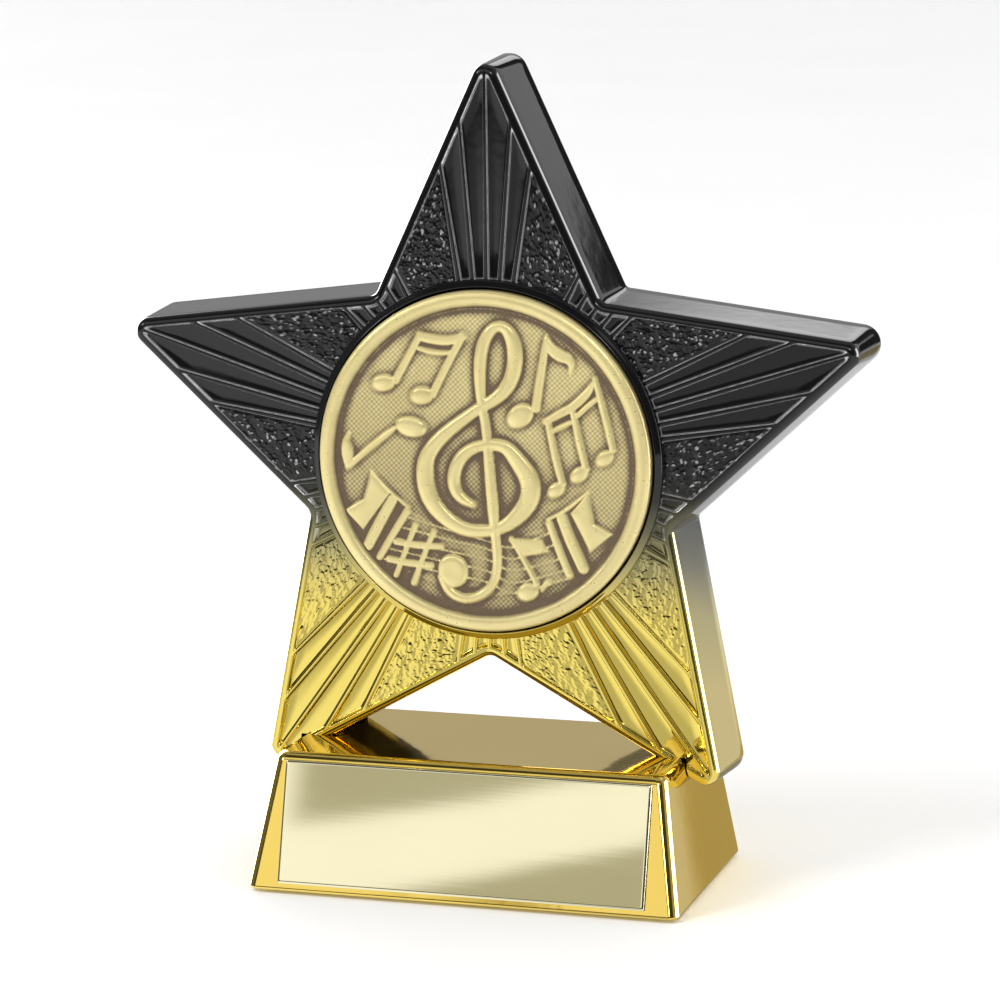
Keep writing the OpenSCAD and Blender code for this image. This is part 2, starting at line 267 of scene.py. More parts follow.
verts, faces, painted_glints = [], [], []      # painted highlights: how bright the rib flanks, the fillets and the pebble tops are painted
first, last = [], []           # inner and outer boundary of the panel: (index, start angle, rim angle)
prev = None                    # last column of the block before: (indices, parameters)
first_col = None
count = 0
fan_g = [.70, .96, 1.0]
for bl in blocks:
    E, EN, EA = at_measure(bl["m"], M25)
    th = bl["th"] * D2R
    S = np.stack([np.cos(th), np.sin(th)], 1) * LIP_R
    L = np.linalg.norm(E - S, axis=1)
    if bl["kind"] == "fan":
        q = np.minimum(.9, .4 * L)
        rows = [np.zeros_like(L), np.minimum(.1, .05 * L), np.minimum(.28, .12 * L)]
        g = [.70, .96, 1.0]
        for f in (.18, .36, .54, .72, .88):
            rows.append(rows[2] + (L - 1.2 * q - rows[2]) * f)
            g.append(1.0)
        for f, gg in ((1.2, 1.0), (1.02, .985), (.85, .88), (.65, .64), (.45, .37), (.25, .15), (.1, .04), (0, 0)):
            rows.append(L - f * q)
            g.append(gg)
        T = np.array(rows)                                   # rows x columns
        G = np.array(g)[:, None] * np.ones_like(T)
        H = -FLOOR * G * bl["pf"][None, :]
        H = np.where(bl["low"][None, :], np.maximum(H, -.37), H)
        depth = G * bl["pf"][None, :]
        # painted highlight along the flanks and fillets of the ribs
        glint_paint = sstep(depth, .02, .15) * (1 - sstep(depth, .60, .84))
    else:
        e = np.minimum(.3, .12 * L)
        us = np.concatenate([np.linspace(0, 1, R_PEB - 4), np.full(4, 2.0)])
        T = np.zeros((R_PEB, len(L)))
        body = np.linspace(0, 1, R_PEB - 4)
        T[: R_PEB - 4] = body[:, None] * (L - e)[None, :]
        for j, f in enumerate((.7, .42, .18, 0)):
            T[R_PEB - 4 + j] = L - e * f
        G = sstep(L[None, :] - T, 0, 1) * 0 + np.clip((L[None, :] - T) / e[None, :], 0, 1)
        G = G * G * (3 - 2 * G)
        P = S[None] + (E - S)[None] * (T / L[None, :])[..., None]
        U, V = P[..., 0], P[..., 1]
        wob = waves(U, V, 3, 2.6)
        bump = domes(U + .12 * waves(U, V, 11, 1.1), V + .12 * waves(U, V, 12, 1.1))
        fine = domes(U * 1.0 + 31.7, V + 17.3, .42)
        H = -.35 + .058 * bump * (1 + .2 * wob) + .012 * fine + .010 * wob
        dome_glint = sstep(bump, .68, .88)
        side = np.minimum(np.arange(1, N_PEB), N_PEB - np.arange(1, N_PEB)) / N_PEB
        H = -.37 + (H + .37) * sstep(side, 0, .035)[None, :]
        H = H * G
        # painted highlight on the tops of the pebbles and on the fillet where the panel rises to the rim
        glint_paint = dome_glint * .55 * sstep(side, .02, .06)[None, :]
        glint_paint = np.maximum(glint_paint, .7 * sstep(G, .1, .3) * (1 - sstep(G, .6, .9)))
    P = S[None] + (E - S)[None] * (T / L[None, :])[..., None]
    nr, nc = T.shape
    idx = count + np.arange(nr * nc).reshape(nr, nc)
    verts.append(np.stack([P[..., 0], H, P[..., 1]], -1).reshape(-1, 3))
    painted_glints.append(glint_paint.reshape(-1))
    count += nr * nc
    a, b, c, d = idx[:-1, :-1], idx[1:, :-1], idx[1:, 1:], idx[:-1, 1:]
    faces += np.stack([a, b, c, d], -1).reshape(-1, 4).tolist()
    t_first, t_last = (T[:, 0] / L[0]).tolist(), (T[:, -1] / L[-1]).tolist()
    if prev is not None:
        faces += zip_rings(prev[0], prev[1], idx[:, 0].tolist(), t_first)
    else:
        first_col = (idx[:, 0].tolist(), t_first)
    prev = (idx[:, -1].tolist(), t_last)
    first += list(zip(idx[0].tolist(), bl["th"].tolist()))
    last += list(zip(idx[-1].tolist(), EA.tolist()))
faces += zip_rings(prev[0], prev[1], first_col[0], first_col[1])


def add_ring(xz, h):
    global count
    n = len(xz)
    verts.append(np.stack([xz[:, 0], np.full(n, h) if np.isscalar(h) else h, xz[:, 1]], 1))
    ids = list(range(count, count + n))
    count += n
    return ids


# lip round the disc and its pocket, from the panel inwards -------------------------------
NL = 240
la = 435 + np.arange(NL) * 360 / NL
circ = np.stack([np.cos(la * D2R), np.sin(la * D2R)], 1)
inner_i = [i for i, _ in first]
inner_t = [t for _, t in first]
s0 = inner_t[0]
prof = [(26.4, .2), (26.39, .55), (26.36, .72), (26.30, .84), (26.20, .93), (26.04, 1.03), (25.86, 1.14), (25.70, 1.25), (25.56, 1.36)]
prof += [(25.48, 1.41), (25.41, 1.42), (25.35, 1.38), (25.31, 1.28), (25.3, 1.1), (25.3, .5), (25.3, -.3), (25.2, -.4), (14, -.4)]
ring = add_ring(circ * prof[0][0], prof[0][1])
ta = [x for x in la]
shift = s0 - ta[0]
k0 = min(range(NL), key=lambda i: abs(ta[i] - s0))
ring_r = ring[k0:] + ring[:k0]
ta_r = ta[k0:] + [x + 360 for x in ta[:k0]]
faces += zip_rings(ring_r, ta_r, inner_i, inner_t, closed=360)
for r, h in prof[1:]:
    nxt = add_ring(circ * r, h)
    faces += ring_faces(nxt, ring)
    ring = nxt
verts.append(np.array([[0, -.4, 0]]))
faces += [(count, ring[i], ring[(i + 1) % NL]) for i in range(NL)]
count += 1

# rim, side walls, back edge, seat of the back panel and hollow ---------------------------
outer_i = [i for i, _ in last]
outer_t = [t for _, t in last]
NO = 500
total = M50[len(M50) // 2]
m_start = np.interp(outer_t[0], DA, M50)
ms = m_start + np.arange(NO) * total / NO
CP, CN, CA = at_measure(ms, M50)


def offs(o):
    return CP + CN * (RIM - o)


def fl(h):
    return FLARE * (-h) / DEPTH


ring = add_ring(offs(BEND), 0.0)
faces += zip_rings(outer_i, outer_t, ring, CA.tolist(), closed=360)
rings = []
for f in (10, 20, 30, 40, 50, 60, 70, 79, 86.4):
    h = -BEND * (1 - math.cos(f * D2R))
    rings.append((BEND * (1 - math.sin(f * D2R)) - fl(h) * math.sin(f * D2R), h))
for h in (-2.6, -5.2, -7.8, -10.4, -12.7):
    rings.append((-fl(h), h))
for f in (20, 40, 60, 80, 90):
    rings.append((-fl(12.75 * -1) + .5 * (1 - math.cos(f * D2R)), -12.78 - .5 * math.sin(f * D2R)))
rings += [(-.1, -DEPTH), (.2, -DEPTH), (.30, -DEPTH + .02), (.37, -DEPTH + .1), (.378, -DEPTH + .25), (.378, -11.3)]
for o, h in rings:
    nxt = add_ring(offs(o), h)
    faces += ring_faces(ring, nxt)
    ring = nxt


def above_feet(p):
    low = -31.5
    s = np.where(p[:, 1] < low, low / np.minimum(p[:, 1], -1e-6), 1.0)
    return p * s[:, None]


for o, h in ((2.0 - fl(-11.3), -11.3), (2.0 - fl(-2.7), -2.7)):
    nxt = add_ring(above_feet(offs(o)), h)
    faces += ring_faces(ring, nxt)
    ring = nxt
verts.append(np.array([[0, -2.7, 0]]))
faces += [(count, ring[(i + 1) % NO], ring[i]) for i in range(NO)]
count += 1

sv = np.vstack(verts)
star_v = np.stack([sv[:, 0], Y0 - sv[:, 1], sv[:, 2] + CZ], 1)
star_f = faces
star_v[:, 2] = np.minimum(star_v[:, 2], cad_hi.z / MM - .002)
star_v[:, 1] = np.minimum(star_v[:, 1], cad_hi.y / MM)
# painted highlights, kept per point for the shell's material
painted_highlight = np.zeros(len(star_v))
painted_highlight[: sum(map(len, painted_glints))] = np.concatenate(painted_glints)

# ---------------------------------------------------------------------------------------
# Materials
# ---------------------------------------------------------------------------------------


class Tree:
    """Short hand for a material's node tree."""

    def __init__(self, name):
        self.mat = bpy.data.materials.new(name)
        self.mat.use_nodes = True
        self.nt = self.mat.node_tree
        self.nt.nodes.clear()
        self.out = self.node("ShaderNodeOutputMaterial")
        self.bsdf = self.node("ShaderNodeBsdfPrincipled")
        self.link(self.bsdf.outputs[0], self.out.inputs["Surface"])
        self.tc = self.node("ShaderNodeTexCoord")
        self.pos = self.tc.outputs["Object"]

    def node(self, kind, **props):
        n = self.nt.nodes.new(kind)
        for k, v in props.items():
            setattr(n, k, v)
        return n

    def link(self, a, b):
        self.nt.links.new(a, b)

    def put(self, sock, value):
        if isinstance(value, bpy.types.NodeSocket):
            self.link(value, sock)
        else:
            sock.default_value = value

    def math(self, op, a, b=0.0, c=None, clamp=False):
        n = self.node("ShaderNodeMath", operation=op, use_clamp=clamp)
        self.put(n.inputs[0], a)
        self.put(n.inputs[1], b)
        if c is not None:
            self.put(n.inputs[2], c)
        return n.outputs[0]

    def noise(self, scale, detail=3.0, rough=.55, vector=None, dist=0.0):
        n = self.node("ShaderNodeTexNoise")
        self.link(vector or self.pos, n.inputs["Vector"])
        n.inputs["Scale"].default_value = scale
        n.inputs["Detail"].default_value = detail
        n.inputs["Roughness"].default_value = rough
        n.inputs["Distortion"].default_value = dist
        return n.outputs["Fac"]

    def voronoi(self, scale, feature="F1", vector=None):
        n = self.node("ShaderNodeTexVoronoi", feature=feature)
        self.link(vector or self.pos, n.inputs["Vector"])
        n.inputs["Scale"].default_value = scale
        return n.outputs["Distance"]

    def ranged(self, v, a, b, c=0.0, d=1.0, smooth=False):
        n = self.node("ShaderNodeMapRange", interpolation_type="SMOOTHSTEP" if smooth else "LINEAR")
        self.put(n.inputs["Value"], v)
        for k, x in zip(("From Min", "From Max", "To Min", "To Max"), (a, b, c, d)):
            n.inputs[k].default_value = x
        return n.outputs["Result"]

    def ramp(self, v, stops):
        n = self.node("ShaderNodeValToRGB")
        self.link(v, n.inputs["Fac"])
        e = n.color_ramp.elements
        while len(e) < len(stops):
            e.new(.5)
        for el, (p, col) in zip(e, stops):
            el.position = p
            el.color = (*col, 1)
        return n.outputs["Color"]

    def mix(self, f, a, b, mode="MIX"):
        n = self.node("ShaderNodeMix", data_type="RGBA", blend_type=mode)
        self.put(n.inputs[0], f)
        for s, x in ((n.inputs[6], a), (n.inputs[7], b)):
            if isinstance(x, tuple):
                x = (*x, 1)
            self.put(s, x)
        return n.outputs[2]

    def axis(self, i):
        n = self.node("ShaderNodeSeparateXYZ")
        self.link(self.pos, n.inputs[0])
        return n.outputs[i]

    def attribute(self, name):
        n = self.node("ShaderNodeAttribute", attribute_name=name)
        return n.outputs["Fac"]

    def scaled(self, x, y, z, rot=(0, 0, 0)):
        n = self.node("ShaderNodeMapping")
        self.link(self.pos, n.inputs["Vector"])
        n.inputs["Scale"].default_value = (x, y, z)
        n.inputs["Rotation"].default_value = rot
        return n.outputs["Vector"]

    def bump(self, height, strength, distance, normal=None):
        n = self.node("ShaderNodeBump")
        n.inputs["Strength"].default_value = strength
        n.inputs["Distance"].default_value = distance
        self.link(height, n.inputs["Height"])
        if normal:
            self.link(normal, n.inputs["Normal"])
        return n.outputs["Normal"]

    def finish(self, color=None, rough=None, metal=None, normal=None, **plain):
        b = self.bsdf
        for k, v in (("Base Color", color), ("Roughness", rough), ("Metallic", metal), ("Normal", normal)):
            if v is not None:
                self.put(b.inputs[k], (*v, 1) if isinstance(v, tuple) and len(v) == 3 else v)
        for k, v in plain.items():
            b.inputs[k.replace("_", " ")].default_value = v
        return self.mat


GOLD = (.87, .70, .165)           # star, under a slightly green lacquer
BASE_GOLD = (.90, .66, .145)


def star_plating():
    t = Tree("star_plating")
    z = t.axis(2)
    wob = t.math("MULTIPLY", t.math("SUBTRACT", t.noise(55, 2), .5), .0035)
    deep = t.math("MULTIPLY", t.math("MAXIMUM", t.math("SUBTRACT", t.axis(1), Y0 * MM + .001), 0.0), .25)
    zz = t.math("ADD", t.math("ADD", z, wob), deep)
    f = t.ranged(zz, .0395, .0618)
    col = t.ramp(f, [(0, GOLD), (.16, (.76, .62, .18)), (.38, (.45, .40, .17)), (.62, (.14, .133, .08)), (.82, (.02, .019, .014)), (1, (.0045, .0045, .005))])
    met = t.ranged(t.ramp(f, [(0, (1, 1, 1)), (.55, (.9, .9, .9)), (.85, (.25, .25, .25)), (1, (0, 0, 0))]), 0, 1)
    smudge = t.noise(90, 4, .6)
    rough = t.ranged(smudge, .35, .7, .045, .095)
    peel = t.noise(420, 2, .5)
    slow = t.noise(38, 1, .4)
    h = t.math("ADD", t.math("MULTIPLY", peel, .12), slow)
    n = t.bump(h, .12, .0006)
    # painted highlight: where the attribute is set, the black parts are painted near white and made metallic
    highlight = t.math("MULTIPLY", t.attribute("painted_highlight"), t.ranged(t.noise(700, 3, .6), .3, .6, .35, 1))
    highlight = t.math("MULTIPLY", highlight, t.ranged(f, .35, .8))
    col = t.mix(highlight, col, (.95, .95, .96))
    geo = t.node("ShaderNodeNewGeometry")
    sep = t.node("ShaderNodeSeparateXYZ")
    t.link(geo.outputs["Normal"], sep.inputs[0])
    # painted reflection: the outer side walls are painted paler and greyer, as a bright reflection shows them, and
    # their black starts lower
    f2 = t.ranged(zz, .030, .0618)
    painted_pale_reflection = t.ramp(f2, [(0, (.87, .70, .26)), (.346, (.62, .54, .235)), (.607, (.21, .20, .14)), (.77, (.07, .07, .065)), (.9, (.02, .02, .02)), (1, (.0045, .0045, .005))])
    side_wall_reflection = t.math("MULTIPLY", t.ranged(t.math("ABSOLUTE", sep.outputs[0]), .78, .93), t.ranged(t.axis(1), Y0 * MM + .0005, Y0 * MM + .0018))
    col = t.mix(side_wall_reflection, col, painted_pale_reflection)
    # painted shade: the walls deep inside that face down are painted near black, with less metal
    painted_underside_shade = t.math("MULTIPLY", t.ranged(sep.outputs[2], -.35, -.7), t.ranged(t.axis(1), Y0 * MM + .0012, Y0 * MM + .0040))
    painted_underside_shade = t.math("MULTIPLY", painted_underside_shade, t.ranged(z, .046, .040))
    col = t.mix(painted_underside_shade, col, (.012, .0115, .009))
    met = t.math("MULTIPLY", met, t.ranged(painted_underside_shade, 0, 1, 1, .15))
    met = t.math("MAXIMUM", met, highlight)
    return t.finish(col, rough, met, n, IOR=1.5)


def gold_plating():
    t = Tree("gold_plating")
    slow = t.noise(30, 2, .5)
    fine = t.noise(500, 2, .5)
    col = t.mix(t.ranged(t.noise(24, 3), .3, .7), BASE_GOLD, (.86, .62, .14))
    rough = t.ranged(t.noise(110, 4, .6), .35, .7, .05, .10)
    h = t.math("ADD", slow, t.math("MULTIPLY", fine, .05))
    return t.finish(col, rough, 1.0, t.bump(h, .14, .0008))


def plate_metal():
    t = Tree("plate_metal")
    grain = t.noise(900, 2, .6, t.scaled(.035, 1, 1))
    blotch = t.noise(45, 3, .5)
    col = t.mix(t.ranged(blotch, .3, .7), (.90, .845, .56), (.88, .82, .53))
    rough = t.ranged(grain, .3, .7, .024, .032)
    return t.finish(col, rough, .98, t.bump(t.math("ADD", t.math("MULTIPLY", grain, .008), t.noise(26, 1, .3)), .05, .0008))


def antique_brass():
    t = Tree("antique_brass")
    # patina of the hollows, with the painted shade inside the clef's loop in it
    patina_shade_mask = t.attribute("patina_and_shade")
    field = t.attribute("field")
    # diamond dots over the sunken field
    x, z = t.axis(0), t.axis(2)
    k = math.pi / .00052
    p = t.math("ADD", x, t.math("MULTIPLY", z, .95))
    q = t.math("SUBTRACT", x, t.math("MULTIPLY", z, 1.05))
    s1 = t.math("ABSOLUTE", t.math("SINE", t.math("MULTIPLY", p, k * .70)))
    s2 = t.math("ABSOLUTE", t.math("SINE", t.math("MULTIPLY", q, k * .70)))
    dots = t.math("POWER", t.math("MULTIPLY", s1, s2), .6)
    speck = t.noise(1500, 3, .65)
    # the field is darker towards the bottom and the left
    low = t.ranged(t.math("ADD", z, t.math("MULTIPLY", x, .25)), (CZ + 10) * MM, (CZ - 16) * MM, .20, .50)
    dark = t.math("MULTIPLY", field, t.math("ADD", low, t.ranged(dots, .1, .75, .45, 0)))
    dark = t.math("ADD", dark, t.math("MULTIPLY", t.math("SUBTRACT", speck, .5), .22))
    amount = t.math("ADD", t.math("MULTIPLY", patina_shade_mask, t.ranged(t.noise(420, 3), .3, .7, .85, 1.2)), t.math("MULTIPLY", dark, t.ranged(patina_shade_mask, 0, 1, .85, .55)), clamp=True)
    amount = t.ranged(amount, .03, .95, 0, 1)
    brass = t.mix(t.ranged(t.noise(160, 3), .3, .7), (.93, .80, .38), (.86, .725, .33))
    col = t.mix(t.ranged(amount, 0, .9), brass, (.15, .105, .062))
    met = t.ranged(amount, 0, 1, .62, .30)
    rough = t.math("ADD", t.ranged(amount, 0, 1, .30, .58), t.math("MULTIPLY", t.math("SUBTRACT", speck, .5), .15))
    h = t.math("ADD", t.math("MULTIPLY", t.math("MULTIPLY", dots, field), 1.0), t.math("MULTIPLY", speck, .12))
    return t.finish(col, rough, met, t.bump(h, .55, .00012))


def simple(name, base, alt, rough, metal, scale, strength, dist, kind="noise"):
    t = Tree(name)
    tex = t.noise(scale, 4, .6) if kind == "noise" else t.voronoi(scale)
    slow = t.noise(scale * .12, 2)
    col = t.mix(t.ranged(t.math("ADD", t.math("MULTIPLY", tex, .6), t.math("MULTIPLY", slow, .4)), .3, .7), base, alt)
    r = t.ranged(tex, .25, .75, rough - .06, rough + .06)
    return t.finish(col, r, metal, t.bump(tex, strength, dist))


def felt_material():
    t = Tree("felt")
    fib = t.noise(1400, 5, .75, None, .6)
    clump = t.noise(180, 3)
    col = t.mix(t.ranged(t.math("ADD", t.math("MULTIPLY", fib, .7), t.math("MULTIPLY", clump, .3)), .3, .7), (.010, .013, .012), (.045, .052, .048))
    return t.finish(col, t.ranged(fib, .3, .7, .85, 1.0), 0.0, t.bump(fib, .8, .0003), Sheen_Weight=.35, Sheen_Roughness=.5)


def brushed_steel(name, base, alt, rough):
    t = Tree(name)
    g = t.noise(700, 3, .6, t.scaled(1, 1, .08))
    col = t.mix(t.ranged(t.noise(90, 3), .3, .7), base, alt)
    return t.finish(col, t.ranged(g, .3, .7, rough - .07, rough + .08), 1.0, t.bump(g, .15, .0001))


M = {
    "star_plating": star_plating(),
    "gold_plating": gold_plating(),
    "plate_metal": plate_metal(),
    "antique_brass": antique_brass(),
    "back_panel_plating": None,
    "adhesive_foam": simple("adhesive_foam", (.78, .77, .74), (.70, .69, .66), .8, 0.0, 900, .5, .0002, "voronoi"),
    "adhesive_film": simple("adhesive_film", (.80, .80, .78), (.72, .72, .70), .35, 0.0, 300, .1, .0001),
    "screw_steel": brushed_steel("screw_steel", (.62, .63, .65), (.52, .53, .55), .25),
    "ballast_steel": brushed_steel("ballast_steel", (.30, .30, .31), (.22, .215, .21), .42),
    "black_foam": simple("black_foam", (.018, .018, .02), (.035, .035, .038), .9, 0.0, 1100, .8, .0003, "voronoi"),
    "black_plastic": simple("black_plastic", (.016, .016, .017), (.026, .026, .028), .42, 0.0, 1600, .25, .00008),
    "felt": felt_material(),
}


def back_panel_plating():
    t = Tree("back_panel_plating")
    zz = t.math("ADD", t.axis(2), t.math("MULTIPLY", t.math("SUBTRACT", t.noise(55, 2), .5), .0035))
    f = t.ranged(zz, .0365, .0590)
    col = t.ramp(f, [(0, GOLD), (.16, (.76, .62, .18)), (.38, (.45, .40, .17)), (.62, (.14, .133, .08)), (.82, (.02, .019, .014)), (1, (.0045, .0045, .005))])
    met = t.ranged(t.ramp(f, [(0, (1, 1, 1)), (.55, (.9, .9, .9)), (.85, (.25, .25, .25)), (1, (0, 0, 0))]), 0, 1)
    grain = t.noise(1300, 2, .5)
    rough = t.ranged(t.noise(80, 4, .6), .35, .7, .20, .30)
    return t.finish(col, rough, met, t.bump(grain, .35, .00008), IOR=1.5)


M["back_panel_plating"] = back_panel_plating()

# ---------------------------------------------------------------------------------------
# Star piece, with the seat on the base cut out of its feet
# ---------------------------------------------------------------------------------------
star = build("star_shell", star_v, star_f, M["star_plating"], smooth=False)


def prism(name, rings):
    n = len(rings[0])
    v = [p for r in rings for p in r]
    f = [tuple(range(n - 1, -1, -1)), tuple(range((len(rings) - 1) * n, len(rings) * n))]
    for j in range(len(rings) - 1):
        f += [(j * n + i, j * n + (i + 1) % n, (j + 1) * n + (i + 1) % n, (j + 1) * n + i) for i in range(n)]
    return v, f


def rrect(x0, x1, y0, y1, r, n, z):
    out = []
    for cx, cy, a in ((x1 - r, y1 - r, 0), (x0 + r, y1 - r, 90), (x0 + r, y0 + r, 180), (x1 - r, y0 + r, 270)):
        for i in range(n + 1):
            b = (a + 90 * i / n) * D2R
            out.append((cx + r * math.cos(b), cy + r * math.sin(b), z))
    return out


BW, BD, TW, TF, TB, TZ, BZ = 65.0, 39.0, 58.7, 14.1, 16.25, 20.0, .5


def base_section(z, g):
    t = (z - BZ) / (TZ - BZ)
    return BW / 2 + (TW / 2 - BW / 2) * t - g, -BD / 2 + (BD / 2 - TF) * t + g, BD / 2 + (TB - BD / 2) * t - g


rings = []
for z in (6.0, TZ):
    hw, yf, yb = base_section(z, 0)
    rings.append(rrect(-hw - .15, hw + .15, yf, yb, .5, 2, z))
cv, cf = prism("saddle", rings)
cutter = build("saddle_cutter", cv, cf, M["star_plating"], smooth=False)
mod = star.modifiers.new("seat", "BOOLEAN")
mod.operation, mod.object, mod.solver = "DIFFERENCE", cutter, "MANIFOLD"
dg = bpy.context.evaluated_depsgraph_get()
cut = bpy.data.meshes.new_from_object(star.evaluated_get(dg), depsgraph=dg)
# the cut mesh as triangles, without the pairs that share all three corners
cut.calc_loop_triangles()
tris = np.array([t.vertices[:] for t in cut.loop_triangles])
_, which, often = np.unique(np.sort(tris, 1), axis=0, return_inverse=True, return_counts=True)
tris = tris[often[which.reshape(-1)] == 1]
whole = bpy.data.meshes.new("star_shell_cut")
whole.from_pydata([v.co[:] for v in cut.vertices], [], tris.tolist())
whole.materials.append(M["star_plating"])
whole.update()
old = star.data
star.modifiers.clear()
star.data = whole
bpy.data.meshes.remove(old)
bpy.data.meshes.remove(cut)
bpy.data.objects.remove(cutter)
cut = whole
outward(cut)
cut.polygons.foreach_set("use_smooth", [True] * len(cut.polygons))
cut.set_sharp_from_angle(angle=48 * D2R)
# carry the painted highlights over to the cut mesh
near = {tuple(p): w for p, w in zip(np.round(star_v, 3).tolist(), painted_highlight.tolist())}
co = np.empty(len(cut.vertices) * 3, np.float32)
cut.vertices.foreach_get("co", co)
at = cut.attributes.new("painted_highlight", "FLOAT", "POINT")
at.data.foreach_set("value", np.array([near.get(tuple(p), 0.0) for p in np.round(co.reshape(-1, 3).astype(float) / MM, 3).tolist()], np.float32))
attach(star, "root")
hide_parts("star_front_shell")

